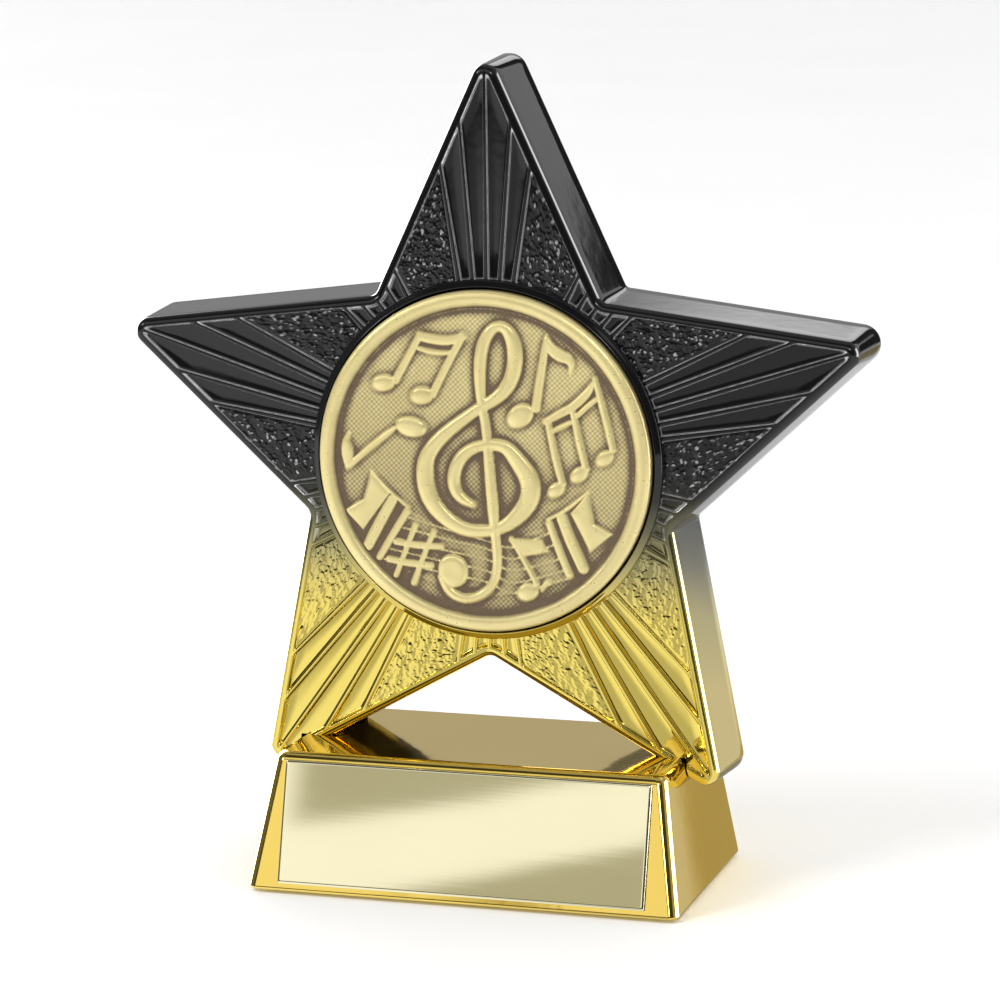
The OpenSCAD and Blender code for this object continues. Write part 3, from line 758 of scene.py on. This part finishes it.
# ---------------------------------------------------------------------------------------
# Medal: a relief of a treble clef, notes and a ribbon of staff lines
# ---------------------------------------------------------------------------------------
STROKES = {
    "clef_loop": [(-1.75, -6.23, 0.67), (-3.29, -5.73, 1.0), (-4.44, -4.37, 1.06), (-4.61, -2.5, 1.09), (-4.1, -0.42, 1.05), (-2.83, 1.32, 1.0), (-1.08, 2.29, 0.95), (0.77, 2.68, 0.95), (3.69, 2.53, 1.13), (4.81, 0.64, 1.33), (6.33, -0.88, 1.52), (7.27, -2.89, 1.62), (7.16, -4.76, 1.57), (6.09, -6.68, 1.43), (4.55, -8.25, 1.24), (3.0, -9.45, 1.05), (1.49, -10.09, 0.95), (0.73, -10.0, 1.0), (-1.6, -10.26, 1.12), (-3.72, -9.8, 1.19), (-5.65, -8.57, 1.28), (-7.38, -6.95, 1.38), (-8.42, -5.12, 1.44), (-8.92, -2.88, 1.47), (-8.75, -0.62, 1.43), (-8.95, -0.16, 1.28), (-7.7, 1.92, 1.2), (-6.03, 3.76, 1.09), (-3.74, 5.62, 1.01), (-1.47, 7.22, 0.92), (-0.45, 7.99, 0.95), (1.93, 9.27, 1.01), (3.58, 10.83, 1.13), (4.59, 12.8, 1.22), (4.97, 14.92, 1.26), (4.9, 17.02, 1.25), (4.28, 18.93, 1.13), (3.03, 20.38, 0.81), (1.66, 19.89, 0.86), (0.47, 18.28, 0.97), (-0.19, 16.32, 1.04), (-0.4, 13.85, 1.01), (-0.42, 11.38, 0.92), (-0.22, 9.27, 0.86), (-0.0, 7.52, 0.81), (0.52, 4.88, 0.83), (0.63, 2.76, 0.83), (0.87, 0.01, 0.9), (1.13, -3.35, 0.97), (1.39, -6.33, 1.0), (1.61, -9.33, 0.9), (1.91, -12.13, 0.84), (2.03, -14.58, 0.81), (1.81, -16.85, 0.8), (0.98, -18.6, 0.8), (-0.77, -19.92, 0.8), (-2.91, -20.51, 0.84), (-3.25, -20.37, 0.9), (-4.8, -19.88, 0.95), (-5.96, -18.61, 0.86), (-6.43, -17.12, 0.76)],
    "clef_ball": [(-4.72, -15.99, 2.38), (-4.71, -16.46, 2.38)],
    "pair_stem1": [(-13.26, 11.47, 0.62), (-11.29, 14.9, 0.58), (-9.42, 18.14, 0.6)],
    "pair_stem2": [(-7.61, 9.67, 0.62), (-5.21, 14.28, 0.58), (-3.0, 18.36, 0.63)],
    "pair_beam1": [(-9.33, 18.06, 0.73), (-7.77, 17.78, 0.77), (-5.86, 17.59, 0.77), (-4.13, 17.79, 0.73), (-2.83, 18.28, 0.6)],
    "pair_beam2": [(-9.7, 16.38, 0.38), (-7.97, 15.94, 0.41), (-6.06, 15.78, 0.41), (-4.5, 15.89, 0.36)],
    "n8_stem": [(7.91, 8.17, 0.72), (8.66, 12.77, 0.65), (9.51, 17.53, 0.54), (9.64, 18.76, 0.18)],
    "n8_flag": [(9.64, 18.41, 0.36), (10.4, 16.86, 0.86), (11.57, 16.03, 0.95), (12.73, 15.54, 0.81), (13.27, 14.69, 0.5), (13.08, 13.63, 0.14)],
    "t_stem1": [(9.79, 6.31, 0.56), (10.83, 1.18, 0.59), (11.85, -2.59, 0.59)],
    "t_stem2": [(13.5, 7.86, 0.56), (14.38, 3.68, 0.56), (15.38, -0.3, 0.59)],
    "t_stem3": [(16.79, 12.72, 0.45), (17.73, 9.25, 0.56), (18.61, 5.96, 0.56), (19.37, 2.65, 0.56)],
    "t_beam1": [(9.43, 6.3, 0.54), (11.52, 7.52, 0.65), (13.5, 8.65, 0.69), (15.49, 10.57, 0.65), (16.84, 12.63, 0.27)],
    "t_beam2": [(10.51, 5.02, 0.41), (11.87, 5.69, 0.43), (13.13, 6.36, 0.41)],
    "t_beam3": [(14.13, 7.36, 0.41), (15.57, 8.73, 0.43), (16.92, 9.83, 0.41)],
    "m_stem": [(-13.35, 4.56, 0.34), (-14.95, 3.31, 0.5), (-17.8, 0.99, 0.5), (-20.49, -1.33, 0.53)],
    "m_flag": [(-20.41, 3.52, 0.13), (-20.87, 2.23, 0.6), (-20.72, 0.87, 0.98), (-20.65, -0.48, 0.81), (-20.76, -1.59, 0.34)],
    "bar_l1": [(-13.9, -6.12, 0.81), (-15.91, -9.62, 0.87), (-17.79, -13.13, 0.84)],
    "bar_l2": [(-11.67, -7.72, 0.57), (-13.87, -11.23, 0.59), (-15.98, -14.75, 0.55)],
    "edge_l": [(-17.07, -2.1, 0.13), (-14.37, -4.82, 0.23), (-11.47, -7.14, 0.21)],
    "bar_r1": [(11.82, -7.72, 0.9), (13.14, -11.03, 0.95), (14.93, -14.87, 0.9)],
    "bar_r2": [(9.91, -8.56, 0.63), (11.32, -12.24, 0.67), (12.83, -15.91, 0.63)],
    "edge_r": [(9.63, -8.05, 0.23), (12.6, -6.29, 0.27), (15.65, -3.73, 0.15)],
    "staff0": [(-11.29, -8.65, 0.19), (-5.18, -10.23, 0.19), (0.9, -11.65, 0.19), (3.74, -12.42, 0.19), (6.83, -11.37, 0.19), (9.9, -9.87, 0.19)],
    "staff1": [(-12.19, -10.2, 0.19), (-5.63, -11.59, 0.19), (0.89, -12.82, 0.19), (3.73, -14.15, 0.19), (7.15, -13.11, 0.19), (10.56, -11.62, 0.19)],
    "staff2": [(-13.19, -11.86, 0.19), (-6.14, -13.2, 0.19), (0.88, -14.38, 0.19), (3.71, -15.81, 0.19), (7.47, -15.0, 0.19), (11.22, -13.74, 0.19)],
    "staff3": [(-14.2, -13.43, 0.19), (-6.64, -14.83, 0.19), (0.86, -16.08, 0.19), (3.7, -17.61, 0.19), (7.84, -16.72, 0.19), (11.97, -15.39, 0.19)],
    "staff4": [(-15.2, -15.0, 0.19), (-7.15, -16.44, 0.19), (0.85, -17.73, 0.19), (3.68, -19.17, 0.19), (8.22, -18.05, 0.19), (12.73, -16.48, 0.19)],
    "sharp_h1": [(-13.4, -12.34, 0.52), (-10.17, -12.66, 0.61), (-6.57, -12.73, 0.55)],
    "sharp_h2": [(-14.51, -14.96, 0.57), (-11.38, -15.38, 0.63), (-8.07, -15.59, 0.55)],
    "sharp_v1": [(-10.43, -9.74, 0.49), (-11.74, -13.02, 0.49), (-13.47, -17.29, 0.49)],
    "sharp_v2": [(-7.61, -10.55, 0.49), (-9.12, -14.03, 0.49), (-10.74, -18.29, 0.53)],
    "k_stem": [(7.93, -17.48, 0.52), (6.42, -14.73, 0.49), (4.9, -12.18, 0.49), (4.14, -11.09, 0.48)],
    "k_hook": [(8.69, -18.38, 0.29), (9.18, -17.6, 0.43), (9.66, -17.11, 0.38)],
}
HEADS = {
    "pair_h1": (-15.01, 11.11, 1.85, 1.33, 12),
    "pair_h2": (-9.18, 9.47, 1.85, 1.40, 14),
    "n8_h": (5.63, 7.03, 2.31, 1.66, 38),
    "t_h1": (10.93, -3.56, 1.56, 1.06, 42),
    "t_h2": (14.37, -1.18, 1.60, 1.10, 42),
    "t_h3": (18.18, 1.34, 1.59, 1.08, 42),
    "m_h": (-10.9, 4.79, 2.43, 1.57, -8),
    "k_h": (6.58, -18.78, 1.75, 1.41, 25),
}
AREAS = {
    "flag_l": [(-17.06, -1.92), (-14.18, -5.19), (-18.48, -10.78), (-21.44, -7.94), (-18.4, -6.17)],
    "flag_r": [(15.69, -3.72), (16.62, -8.24), (19.32, -9.7), (15.95, -12.48), (13.01, -6.92)],
    "band": [(-11.47, -7.43), (-5.47, -10.07), (1.1, -10.89), (1.03, -18.72), (-7.51, -18.31), (-15.7, -15.5)],
    "band2": [(0.28, -11.65), (4.52, -10.88), (9.72, -8.94), (12.92, -16.47), (8.7, -18.2), (2.13, -19.67), (0.2, -19.77)],
    "k_flag": [(3.85, -10.91), (8.84, -10.95), (9.79, -12.69), (7.96, -13.25), (6.04, -13.53), (4.7, -12.75)],
}


def smooth_path(p, step=.12):
    """Catmull-Rom curve through points with a radius each."""
    p = np.array(p, float)
    if len(p) < 3:
        n = max(2, int(np.linalg.norm(p[1, :2] - p[0, :2]) / step))
        return p[0] + (p[1] - p[0]) * np.linspace(0, 1, n)[:, None]
    e = np.vstack([2 * p[0] - p[1], p, 2 * p[-1] - p[-2]])
    out = []
    for i in range(1, len(e) - 2):
        a, b, c, d = e[i - 1], e[i], e[i + 1], e[i + 2]
        n = max(2, int(np.linalg.norm(c[:2] - b[:2]) / step))
        t = np.linspace(0, 1, n, endpoint=False)[:, None]
        out.append(.5 * (2 * b + (c - a) * t + (2 * a - 5 * b + 4 * c - d) * t**2 + (3 * b - a - 3 * c + d) * t**3))
    out.append(e[-2][None])
    return np.vstack(out)


def relax(p, sigma):
    """Smooth a sampled curve and its radius along its length, ends kept."""
    n = int(3 * sigma / .12)
    w = np.exp(-.5 * (np.arange(-n, n + 1) * .12 / sigma) ** 2)
    q = np.vstack([2 * p[0] - p[n:0:-1], p, 2 * p[-1] - p[-2 : -n - 2 : -1]]) if len(p) > n + 2 else None
    if q is None:
        return p
    return np.stack([np.convolve(q[:, i], w / w.sum(), "valid") for i in range(p.shape[1])], 1)


# fine raster of signed distances: inside positive, in millimetres
GP = .08
GN = int(46.4 / GP) // 2 * 2 + 1
gx = (np.arange(GN) - GN // 2) * GP
GX, GZ = np.meshgrid(gx, gx, indexing="ij")


def stroke_depth(path):
    """How far each raster point lies inside the stroke (negative outside)."""
    best = np.full(GX.shape, -9.0)
    for u, v, r in path:
        w = r + 1.3
        i0, i1 = np.searchsorted(gx, [u - w, u + w])
        j0, j1 = np.searchsorted(gx, [v - w, v + w])
        if i0 >= i1 or j0 >= j1:
            continue
        d = r - np.hypot(GX[i0:i1, j0:j1] - u, GZ[i0:i1, j0:j1] - v)
        best[i0:i1, j0:j1] = np.maximum(best[i0:i1, j0:j1], d)
    return best


def ellipse_depth(cx, cz, rx, rz, tilt):
    a = tilt * D2R
    x, y = GX - cx, GZ - cz
    p, q = x * math.cos(a) + y * math.sin(a), -x * math.sin(a) + y * math.cos(a)
    k = np.hypot(p / rx, q / rz)
    return (1 - k) * rz


def polygon_depth(pts):
    p = np.array(pts, float)
    d = np.full(GX.shape, 9.0)
    inside = np.zeros(GX.shape, bool)
    n = len(p)
    for i in range(n):
        a, b = p[i], p[(i + 1) % n]
        ab = b - a
        t = np.clip(((GX - a[0]) * ab[0] + (GZ - a[1]) * ab[1]) / (ab @ ab), 0, 1)
        d = np.minimum(d, np.hypot(GX - a[0] - t * ab[0], GZ - a[1] - t * ab[1]))
        cond = (a[1] > GZ) != (b[1] > GZ)
        with np.errstate(divide="ignore", invalid="ignore"):
            xx = a[0] + (GZ - a[1]) * (b[0] - a[0]) / (b[1] - a[1])
        inside ^= cond & (GX < xx)
    return np.where(inside, d, -d)


def shoulder(d, h, edge, crown=0.0, width=1.0):
    """Height of a raised shape from the depth inside its outline."""
    t = np.clip((d + .06) / edge, 0, 1)
    return h * (t * t * (3 - 2 * t)) + crown * np.clip(d / width, 0, 1) * (2 - np.clip(d / width, 0, 1))


field_h = np.zeros(GX.shape)
raised = np.full(GX.shape, -9.0)


def lay(d, h, edge, crown=0.0, width=1.0, over=True):
    global field_h, raised
    s = shoulder(d, h, edge, crown, width)
    field_h = np.maximum(field_h, s)
    if over:
        raised = np.maximum(raised, d)


band = np.maximum(polygon_depth(AREAS["band"]), polygon_depth(AREAS["band2"]))
lay(band, .03, .35, over=False)
for name, path in STROKES.items():
    line = smooth_path(path)
    if name.startswith(("clef", "staff")):
        line = relax(line, 1.3 if name.startswith("clef") else .8)
    d = stroke_depth(line)
    if name.startswith("staff"):
        lay(d, .19, .16, over=False)
    elif name.startswith("clef"):
        lay(d, .34, .42, .26, 1.15)
    elif name.startswith("edge"):
        lay(d, .34, .22)
    elif name.startswith(("bar", "sharp")):
        lay(d, .34, .30, .10, .5)
    else:
        lay(d, .27, .30, .13, .55)
for name, e in HEADS.items():
    lay(ellipse_depth(*e), .28, .34, .22, 1.2)
for name in ("flag_l", "flag_r"):
    d = polygon_depth(AREAS[name])
    lay(d, .26, .3, .08, 1.2)
lay(polygon_depth(AREAS["k_flag"]), .33, .26, .06, .6)


def blur(a, r):
    for ax in (0, 1):
        for _ in range(3):
            n = int(r / GP)
            c = np.cumsum(np.concatenate([np.repeat(a.take([0], ax), n + 1, ax), a, np.repeat(a.take([-1], ax), n, ax)], ax), ax)
            hi = c.take(range(2 * n + 1, c.shape[ax]), ax)
            lo_ = c.take(range(0, c.shape[ax] - 2 * n - 1), ax)
            a = (hi - lo_) / (2 * n + 1)
    return a


RR = np.hypot(GX, GZ)
rim_wall = np.clip((RR - 22.2) / .5, 0, 1) * .62
around = np.maximum(field_h, rim_wall)
soft = blur(around, .42)
wide = blur(around, 1.0)
recess = np.clip((soft - around) * 3.6, 0, 1) + np.clip((wide - around - .045) * 3.4, 0, .72)
# painted shade: a soft round pool of darkness over the field inside the clef's loop, added to the patina of the hollows
shade = np.exp(-((GX - 1.2) ** 2 + (GZ + 4.5) ** 2) / 5.5**2) * .22
recess = np.clip(recess * .92 - .02 + shade, 0, .90)
recess = np.where(raised > .12, recess * .25, recess)
in_field = sstep(-raised, .05, .3) * (1 - sstep(band, -.1, .15) * .25)


def sample(a, u, v):
    x, y = (u / GP + GN // 2), (v / GP + GN // 2)
    i, j = np.clip(np.floor(x).astype(int), 0, GN - 2), np.clip(np.floor(y).astype(int), 0, GN - 2)
    fx, fy = x - i, y - j
    return (a[i, j] * (1 - fx) * (1 - fy) + a[i + 1, j] * fx * (1 - fy) + a[i, j + 1] * (1 - fx) * fy + a[i + 1, j + 1] * fx * fy)


# square grid bent to a disc, so that its border is a circle
NG = 262
RF = 22.35
s = np.linspace(-1, 1, NG + 1)
A_, B_ = np.meshgrid(s, s, indexing="ij")
rad = np.where(np.abs(A_) > np.abs(B_), A_, B_)
with np.errstate(divide="ignore", invalid="ignore"):
    phi = np.where(np.abs(A_) > np.abs(B_), (math.pi / 4) * np.nan_to_num(B_ / A_), (math.pi / 2) - (math.pi / 4) * np.nan_to_num(A_ / B_))
U, V = rad * np.cos(phi) * RF, rad * np.sin(phi) * RF
hh = sample(field_h, U, V)
pp = sample(recess, U, V)
ff = sample(in_field, U, V)
k = math.pi / .52 * .70
dots = np.abs(np.sin((U + (V + CZ) * .95) * k) * np.sin((U - (V + CZ) * 1.05) * k)) ** .7
Rg = np.hypot(U, V)
hh = hh + .045 * dots * ff * (1 - sstep(Rg, 21.9, 22.3)) + .006 * waves(U, V, 5, 2.0)
FIELD_Y = 5.12 * -1
top_y = -5.78
yy = FIELD_Y - np.minimum(hh, .655)
gi = np.arange((NG + 1) ** 2).reshape(NG + 1, NG + 1)
mv = [np.stack([U, yy, V + CZ], -1).reshape(-1, 3)]
mf = np.stack([gi[:-1, :-1], gi[:-1, 1:], gi[1:, 1:], gi[1:, :-1]], -1).reshape(-1, 4)
edge = gi[:, 0].tolist() + gi[-1, 1:].tolist() + gi[-2::-1, -1].tolist() + gi[0, -2:0:-1].tolist()
ep = mv[0][edge]
ang = np.arctan2(ep[:, 2] - CZ, ep[:, 0])
mp, mfld = [pp.reshape(-1)], [ff.reshape(-1)]
mfaces = mf.tolist()
cnt = (NG + 1) ** 2
ring = edge
rim_prof = [(22.5, -5.13, .95), (22.62, -5.2, .85), (22.70, -5.34, .6), (22.80, -5.50, .5), (23.0, -5.64, .28), (23.3, -5.73, .08), (23.7, -5.775, 0), (24.1, -5.755, 0), (24.45, -5.69, 0), (24.72, -5.58, .05), (24.9, -5.42, .2), (24.98, -5.2, .45), (25.0, -4.9, .6), (25.0, -3.5, .6), (24.9, -3.32, .5), (24.7, -3.3, .4)]
for r, y, pt in rim_prof:
    mv.append(np.stack([np.cos(ang) * r, np.full(len(ang), y), np.sin(ang) * r + CZ], 1))
    mp.append(np.full(len(ang), pt))
    mfld.append(np.zeros(len(ang)))
    nxt = list(range(cnt, cnt + len(ang)))
    cnt += len(ang)
    mfaces += ring_faces(nxt, ring)
    ring = nxt
mv.append(np.array([[0, -3.3, CZ]]))
mp.append(np.zeros(1))
mfld.append(np.zeros(1))
mfaces += [(cnt, ring[i], ring[(i + 1) % len(ring)]) for i in range(len(ring))]
medal = build("medal", np.vstack(mv), mfaces, M["antique_brass"])
for nm, val in (("patina_and_shade", mp), ("field", mfld)):
    at = medal.data.attributes.new(nm, "FLOAT", "POINT")
    at.data.foreach_set("value", np.concatenate(val).astype(np.float32))
medal.data.set_sharp_from_angle(angle=70 * D2R)
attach(medal, "root")
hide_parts("medal_disc")

# ---------------------------------------------------------------------------------------
# Base shell: rounded block with leaning sides, hollow from below
# ---------------------------------------------------------------------------------------


def base_ring(z, g, r, n=12):
    hw, yf, yb = base_section(z, g)
    return rrect(-hw, hw, yf, yb, r, n, z)


prof = [(BZ, .42, 1.6), (BZ + .03, .28, 1.6), (BZ + .12, .13, 1.6), (BZ + .26, .03, 1.6), (BZ + .42, 0, 1.6), (BZ + .55, 0, 1.6)]
prof += [(z, 0, 1.6) for z in (3, 6, 9, 12, 15, 17.5, 18.8)]
prof += [(TZ - 1 + math.sin(a * D2R), 1 - math.cos(a * D2R), 1.6) for a in (0, 12, 24, 36, 48, 60, 72, 82, 90)]
bv, bf = [], []
rings_b = []
for z, g, r in prof:
    rings_b.append(list(range(len(bv), len(bv) + 52)))
    bv += base_ring(z, g, r)
for a, b in zip(rings_b[:-1], rings_b[1:]):
    bf += ring_faces(a, b)
bf = [f[::-1] for f in bf]
# top face as a fine grid-like fan of rings, which takes a very slight sink
top = rings_b[-1]
for s_ in (.985, .93, .8, .6, .35, .12):
    nxt = list(range(len(bv), len(bv) + 52))
    for x, y, z in [bv[i] for i in rings_b[-1]]:
        bv.append((x * s_, 1.08 + (y - 1.08) * s_, TZ - .035 * (1 - s_ * s_) * 2))
    bf += [f[::-1] for f in ring_faces(top, nxt)]
    top = nxt
bf.append(tuple(top))
# underside: the rim of the wall, then the inner walls and the ceiling
low = rings_b[0]
for z, g, r in ((BZ, 2.2, .8), (17.8, 2.2, .8)):
    nxt = list(range(len(bv), len(bv) + 52))
    bv += base_ring(z, g, r)
    bf += ring_faces(low, nxt)
    low = nxt
bf.append(tuple(low[::-1]))
base = build("base_shell_gloss", bv, bf, M["gold_plating"], smooth=True, sharp=40)
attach(base, "root")
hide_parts("base_shell")

# ---------------------------------------------------------------------------------------
# Engraving plate on the front slope, blank, with a fine bevelled edge
# ---------------------------------------------------------------------------------------
slope = math.atan((BD / 2 - TF) / (TZ - BZ))
s_len = (TZ - BZ) / math.cos(slope)
right = np.array([1.0, 0, 0])
upv = np.array([0, math.sin(slope), math.cos(slope)])
outv = np.array([0, -math.cos(slope), math.sin(slope)])
origin = np.array([0, -BD / 2, BZ]) + upv * s_len / 2
PW, PH, PT = 55.2, 18.0, .5
rings_p = [(0, .02, 0), (0, 0, .03), (0, 0, PT - .22), (.04, 0, PT - .15), (.12, 0, PT - .08), (.24, 0, PT - .03), (.34, 0, PT - .005), (.42, 0, PT), (.47, 0, PT), (.6, 0, PT)]
pv, pf_ = [], []
ids_p = []
for g, _, h in rings_p:
    ids_p.append(list(range(len(pv), len(pv) + 28)))
    for x, y, _z in rrect(-PW / 2 + g, PW / 2 - g, -PH / 2 + g, PH / 2 - g, max(.12, .3 - g * .3), 6, 0):
        pv.append(tuple(origin + right * x + upv * y + outv * (h + .15)))
for a, b in zip(ids_p[:-1], ids_p[1:]):
    pf_ += [f[::-1] for f in ring_faces(a, b)]
lastp = ids_p[-1]
for s_ in (.9, .6, .25):
    nxt = list(range(len(pv), len(pv) + 28))
    for i in ids_p[-1]:
        p = np.array(pv[i]) - origin
        x, y = p @ right, p @ upv
        pv.append(tuple(origin + right * x * s_ + upv * y * s_ + outv * (PT + .15)))
    pf_ += [f[::-1] for f in ring_faces(lastp, nxt)]
    lastp = nxt
pf_.append(tuple(lastp))
pf_.append(tuple(ids_p[0][::-1]))
plate = build("plate", pv, pf_, M["plate_metal"], smooth=True, sharp=50)
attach(plate, "root")
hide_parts("engraving_plate")

# ---------------------------------------------------------------------------------------
# CAD nodes that stay, with their own materials
# ---------------------------------------------------------------------------------------
KEEP = {
    "star_back_panel": "back_panel_plating",
    "medal_adhesive_pad": "adhesive_foam",
    "engraving_plate_adhesive": "adhesive_film",
    "star_fixing_screws": "screw_steel",
    "ballast_weight": "ballast_steel",
    "ballast_foam_pad": "black_foam",
    "base_bottom_plate": "black_plastic",
    "bottom_plate_screws": "screw_steel",
    "base_felt_pad": "felt",
}
for node, slot in KEEP.items():
    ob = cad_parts[node]
    if not ob.data.materials:
        ob.data.materials.append(M[slot])
    for sl in ob.material_slots:
        sl.material = M[slot]

# ---------------------------------------------------------------------------------------
# Floor, camera and lights
# ---------------------------------------------------------------------------------------


def floor_material():
    t = Tree("floor")
    n = t.noise(6, 4, .6)
    col = t.mix(t.ranged(n, .3, .7), (.90, .90, .90), (.88, .88, .885))
    return t.finish(col, .65, 0.0, t.bump(t.noise(700, 3), .05, .0002))


fm = bpy.data.meshes.new("floor")
fm.from_pydata([(-6, -6, 0), (6, -6, 0), (6, 6, 0), (-6, 6, 0)], [], [(0, 1, 2, 3)])
floor = bpy.data.objects.new("floor", fm)
bpy.context.scene.collection.objects.link(floor)
fm.materials.append(floor_material())

cam = bpy.data.cameras.new("camera")
camera = bpy.data.objects.new("camera", cam)
bpy.context.scene.collection.objects.link(camera)
bpy.context.scene.camera = camera
back = Vector((0.28443369, -0.94106256, 0.18302659))
r2 = Vector((0.95765735, 0.28778287, -0.00856888))
u2 = Vector((-0.04460806, 0.17771403, 0.98307062))
rot = Matrix((r2, u2, back)).transposed().to_4x4()
rot.translation = Vector((0.16498247, -0.54289810, 0.16185583))
camera.matrix_world = rot
cam.sensor_width = 36
cam.lens = 3954.7159 / 1000 * 36
cam.clip_start, cam.clip_end = .02, 30


def softbox(name, loc, target, size, power, size_y=None, color=(1, 1, 1), spread=180):
    li = bpy.data.lights.new(name, "AREA")
    li.shape = "RECTANGLE"
    li.size, li.size_y = size, size_y or size
    li.energy = power
    li.color = color
    li.spread = spread * D2R
    ob = bpy.data.objects.new(name, li)
    bpy.context.scene.collection.objects.link(ob)
    ob.location = loc
    ob.rotation_mode = "QUATERNION"
    ob.rotation_quaternion = (Vector(loc) - Vector(target)).to_track_quat("Z", "Y")
    ob.visible_camera = False
    return ob


T = (0, 0, .06)
key = softbox("key", (-.80, -.75, 1.05), T, .6, 9)
fill = softbox("fill", (.95, -.55, .95), T, .7, 2)
for ob in (key, fill):
    ob.visible_glossy = False
floor.visible_glossy = False


class Studio(Tree):
    """The room that the polished metal mirrors: table, dark horizon and soft panels."""

    def __init__(self, world):
        world.use_nodes = True
        self.nt = world.node_tree
        self.nt.nodes.clear()
        self.tc = self.node("ShaderNodeTexCoord")
        self.pos = self.tc.outputs["Generated"]
        x, y, z = self.axis(0), self.axis(1), self.axis(2)
        deg = 180 / math.pi
        self.el = self.math("MULTIPLY", self.math("ARCSINE", z), deg)
        self.front = self.math("MULTIPLY", self.math("ARCTAN2", x, self.math("MULTIPLY", y, -1.0)), deg)
        self.rear = self.math("MULTIPLY", self.math("ARCTAN2", x, y), deg)
        self.total = None

    def window(self, v, a, b, soft):
        up = self.ranged(v, a - soft / 2, a + soft / 2, 0, 1, True)
        down = self.ranged(v, b - soft / 2, b + soft / 2, 1, 0, True)
        return self.math("MULTIPLY", up, down)

    def panel(self, level, az, el, soft=(3, 2), rear=False, color=(1, 1, 1), tilt=0.0, pivot=0.0):
        """Set the level inside a window of azimuth and elevation over what is there."""
        a = self.rear if rear else self.front
        e = self.el if not tilt else self.math("ADD", self.el, self.math("MULTIPLY", self.math("SUBTRACT", a, pivot), -tilt))
        w = self.window(e, el[0], el[1], soft[1])
        if az[1] - az[0] < 359:
            w = self.math("MULTIPLY", w, self.window(a, az[0], az[1], soft[0]))
        col = tuple(c * level for c in color)
        self.total = col if self.total is None else self.mix(w, self.total, col)


world = bpy.data.worlds.new("studio")
bpy.context.scene.world = world
st = Studio(world)
st.panel(.42, (-181, 181), (-91, 91))
# table, all round
st.panel(.95, (-181, 181), (-100, -4.5), (1, 2.5))
st.panel(1.08, (-60, -17), (-60, -5.3), (7, 1.2))
st.panel(.58, (-17, 12), (-60, -5.3), (7, 1.2))
# dark horizon of the room, in front and behind
st.panel(.05, (-75, 60), (-5.3, 66), (12, 1.6))
st.panel(.85, (-60, 40), (22, 40), (8, 3))
st.panel(.15, (-118, -60), (-5, 62), (6, 5))
st.panel(.32, (-60, -7), (-5, 7), (6, 5), rear=True)
st.panel(.47, (-60, -7), (7, 24), (6, 5), rear=True)
st.panel(.04, (4, 19.5), (-5, 45), (3, 3), rear=True)
st.panel(.03, (17, 26), (-3, 14), (3, 2), rear=True)
st.panel(.76, (16, 60), (10.5, 45), (3, .5), rear=True, tilt=-.4, pivot=21.7)
st.panel(.64, (20.5, 70), (-40, -2), (3, 3), rear=True)
st.panel(.44, (8, 20.5), (-18, -7.5), (3, 3), rear=True, color=(1, .85, .42))
st.panel(.25, (-24, 30), (-62, -18), (6, 5), rear=True)
# soft panels
st.panel(1.85, (-11.5, 4), (17.5, 55), (3, 3), rear=True)
st.panel(1.05, (-44, 4), (9.5, 19), (4, 3))
st.panel(.47, (-19.9, -14.2), (9.5, 19), (.5, 2), color=(1, .95, .78))
st.panel(1.07, (-21, -13), (14.32, 15.55), (1, .35), color=(1, 1.0, 1.03), tilt=.315, pivot=-15)
st.panel(12.0, (-150, -120), (-12, 30), (5, 6))
st.panel(12.0, (90, 130), (-12, 30), (6, 6))
st.panel(12.0, (-56, -47), (16, 26), (3, 3))
st.panel(12.0, (12, 20), (18, 27), (3, 3))
lp = st.node("ShaderNodeLightPath")
even = st.mix(lp.outputs["Is Glossy Ray"], (1.0, 1.0, 1.0), st.total)
bg = st.node("ShaderNodeBackground")
st.put(bg.inputs["Color"], even)
bg.inputs["Strength"].default_value = 1.0
wo = st.node("ShaderNodeOutputWorld")
st.link(bg.outputs[0], wo.inputs["Surface"])
sc = bpy.context.scene
sc.view_settings.view_transform = "Standard"
sc.view_settings.look = "None"
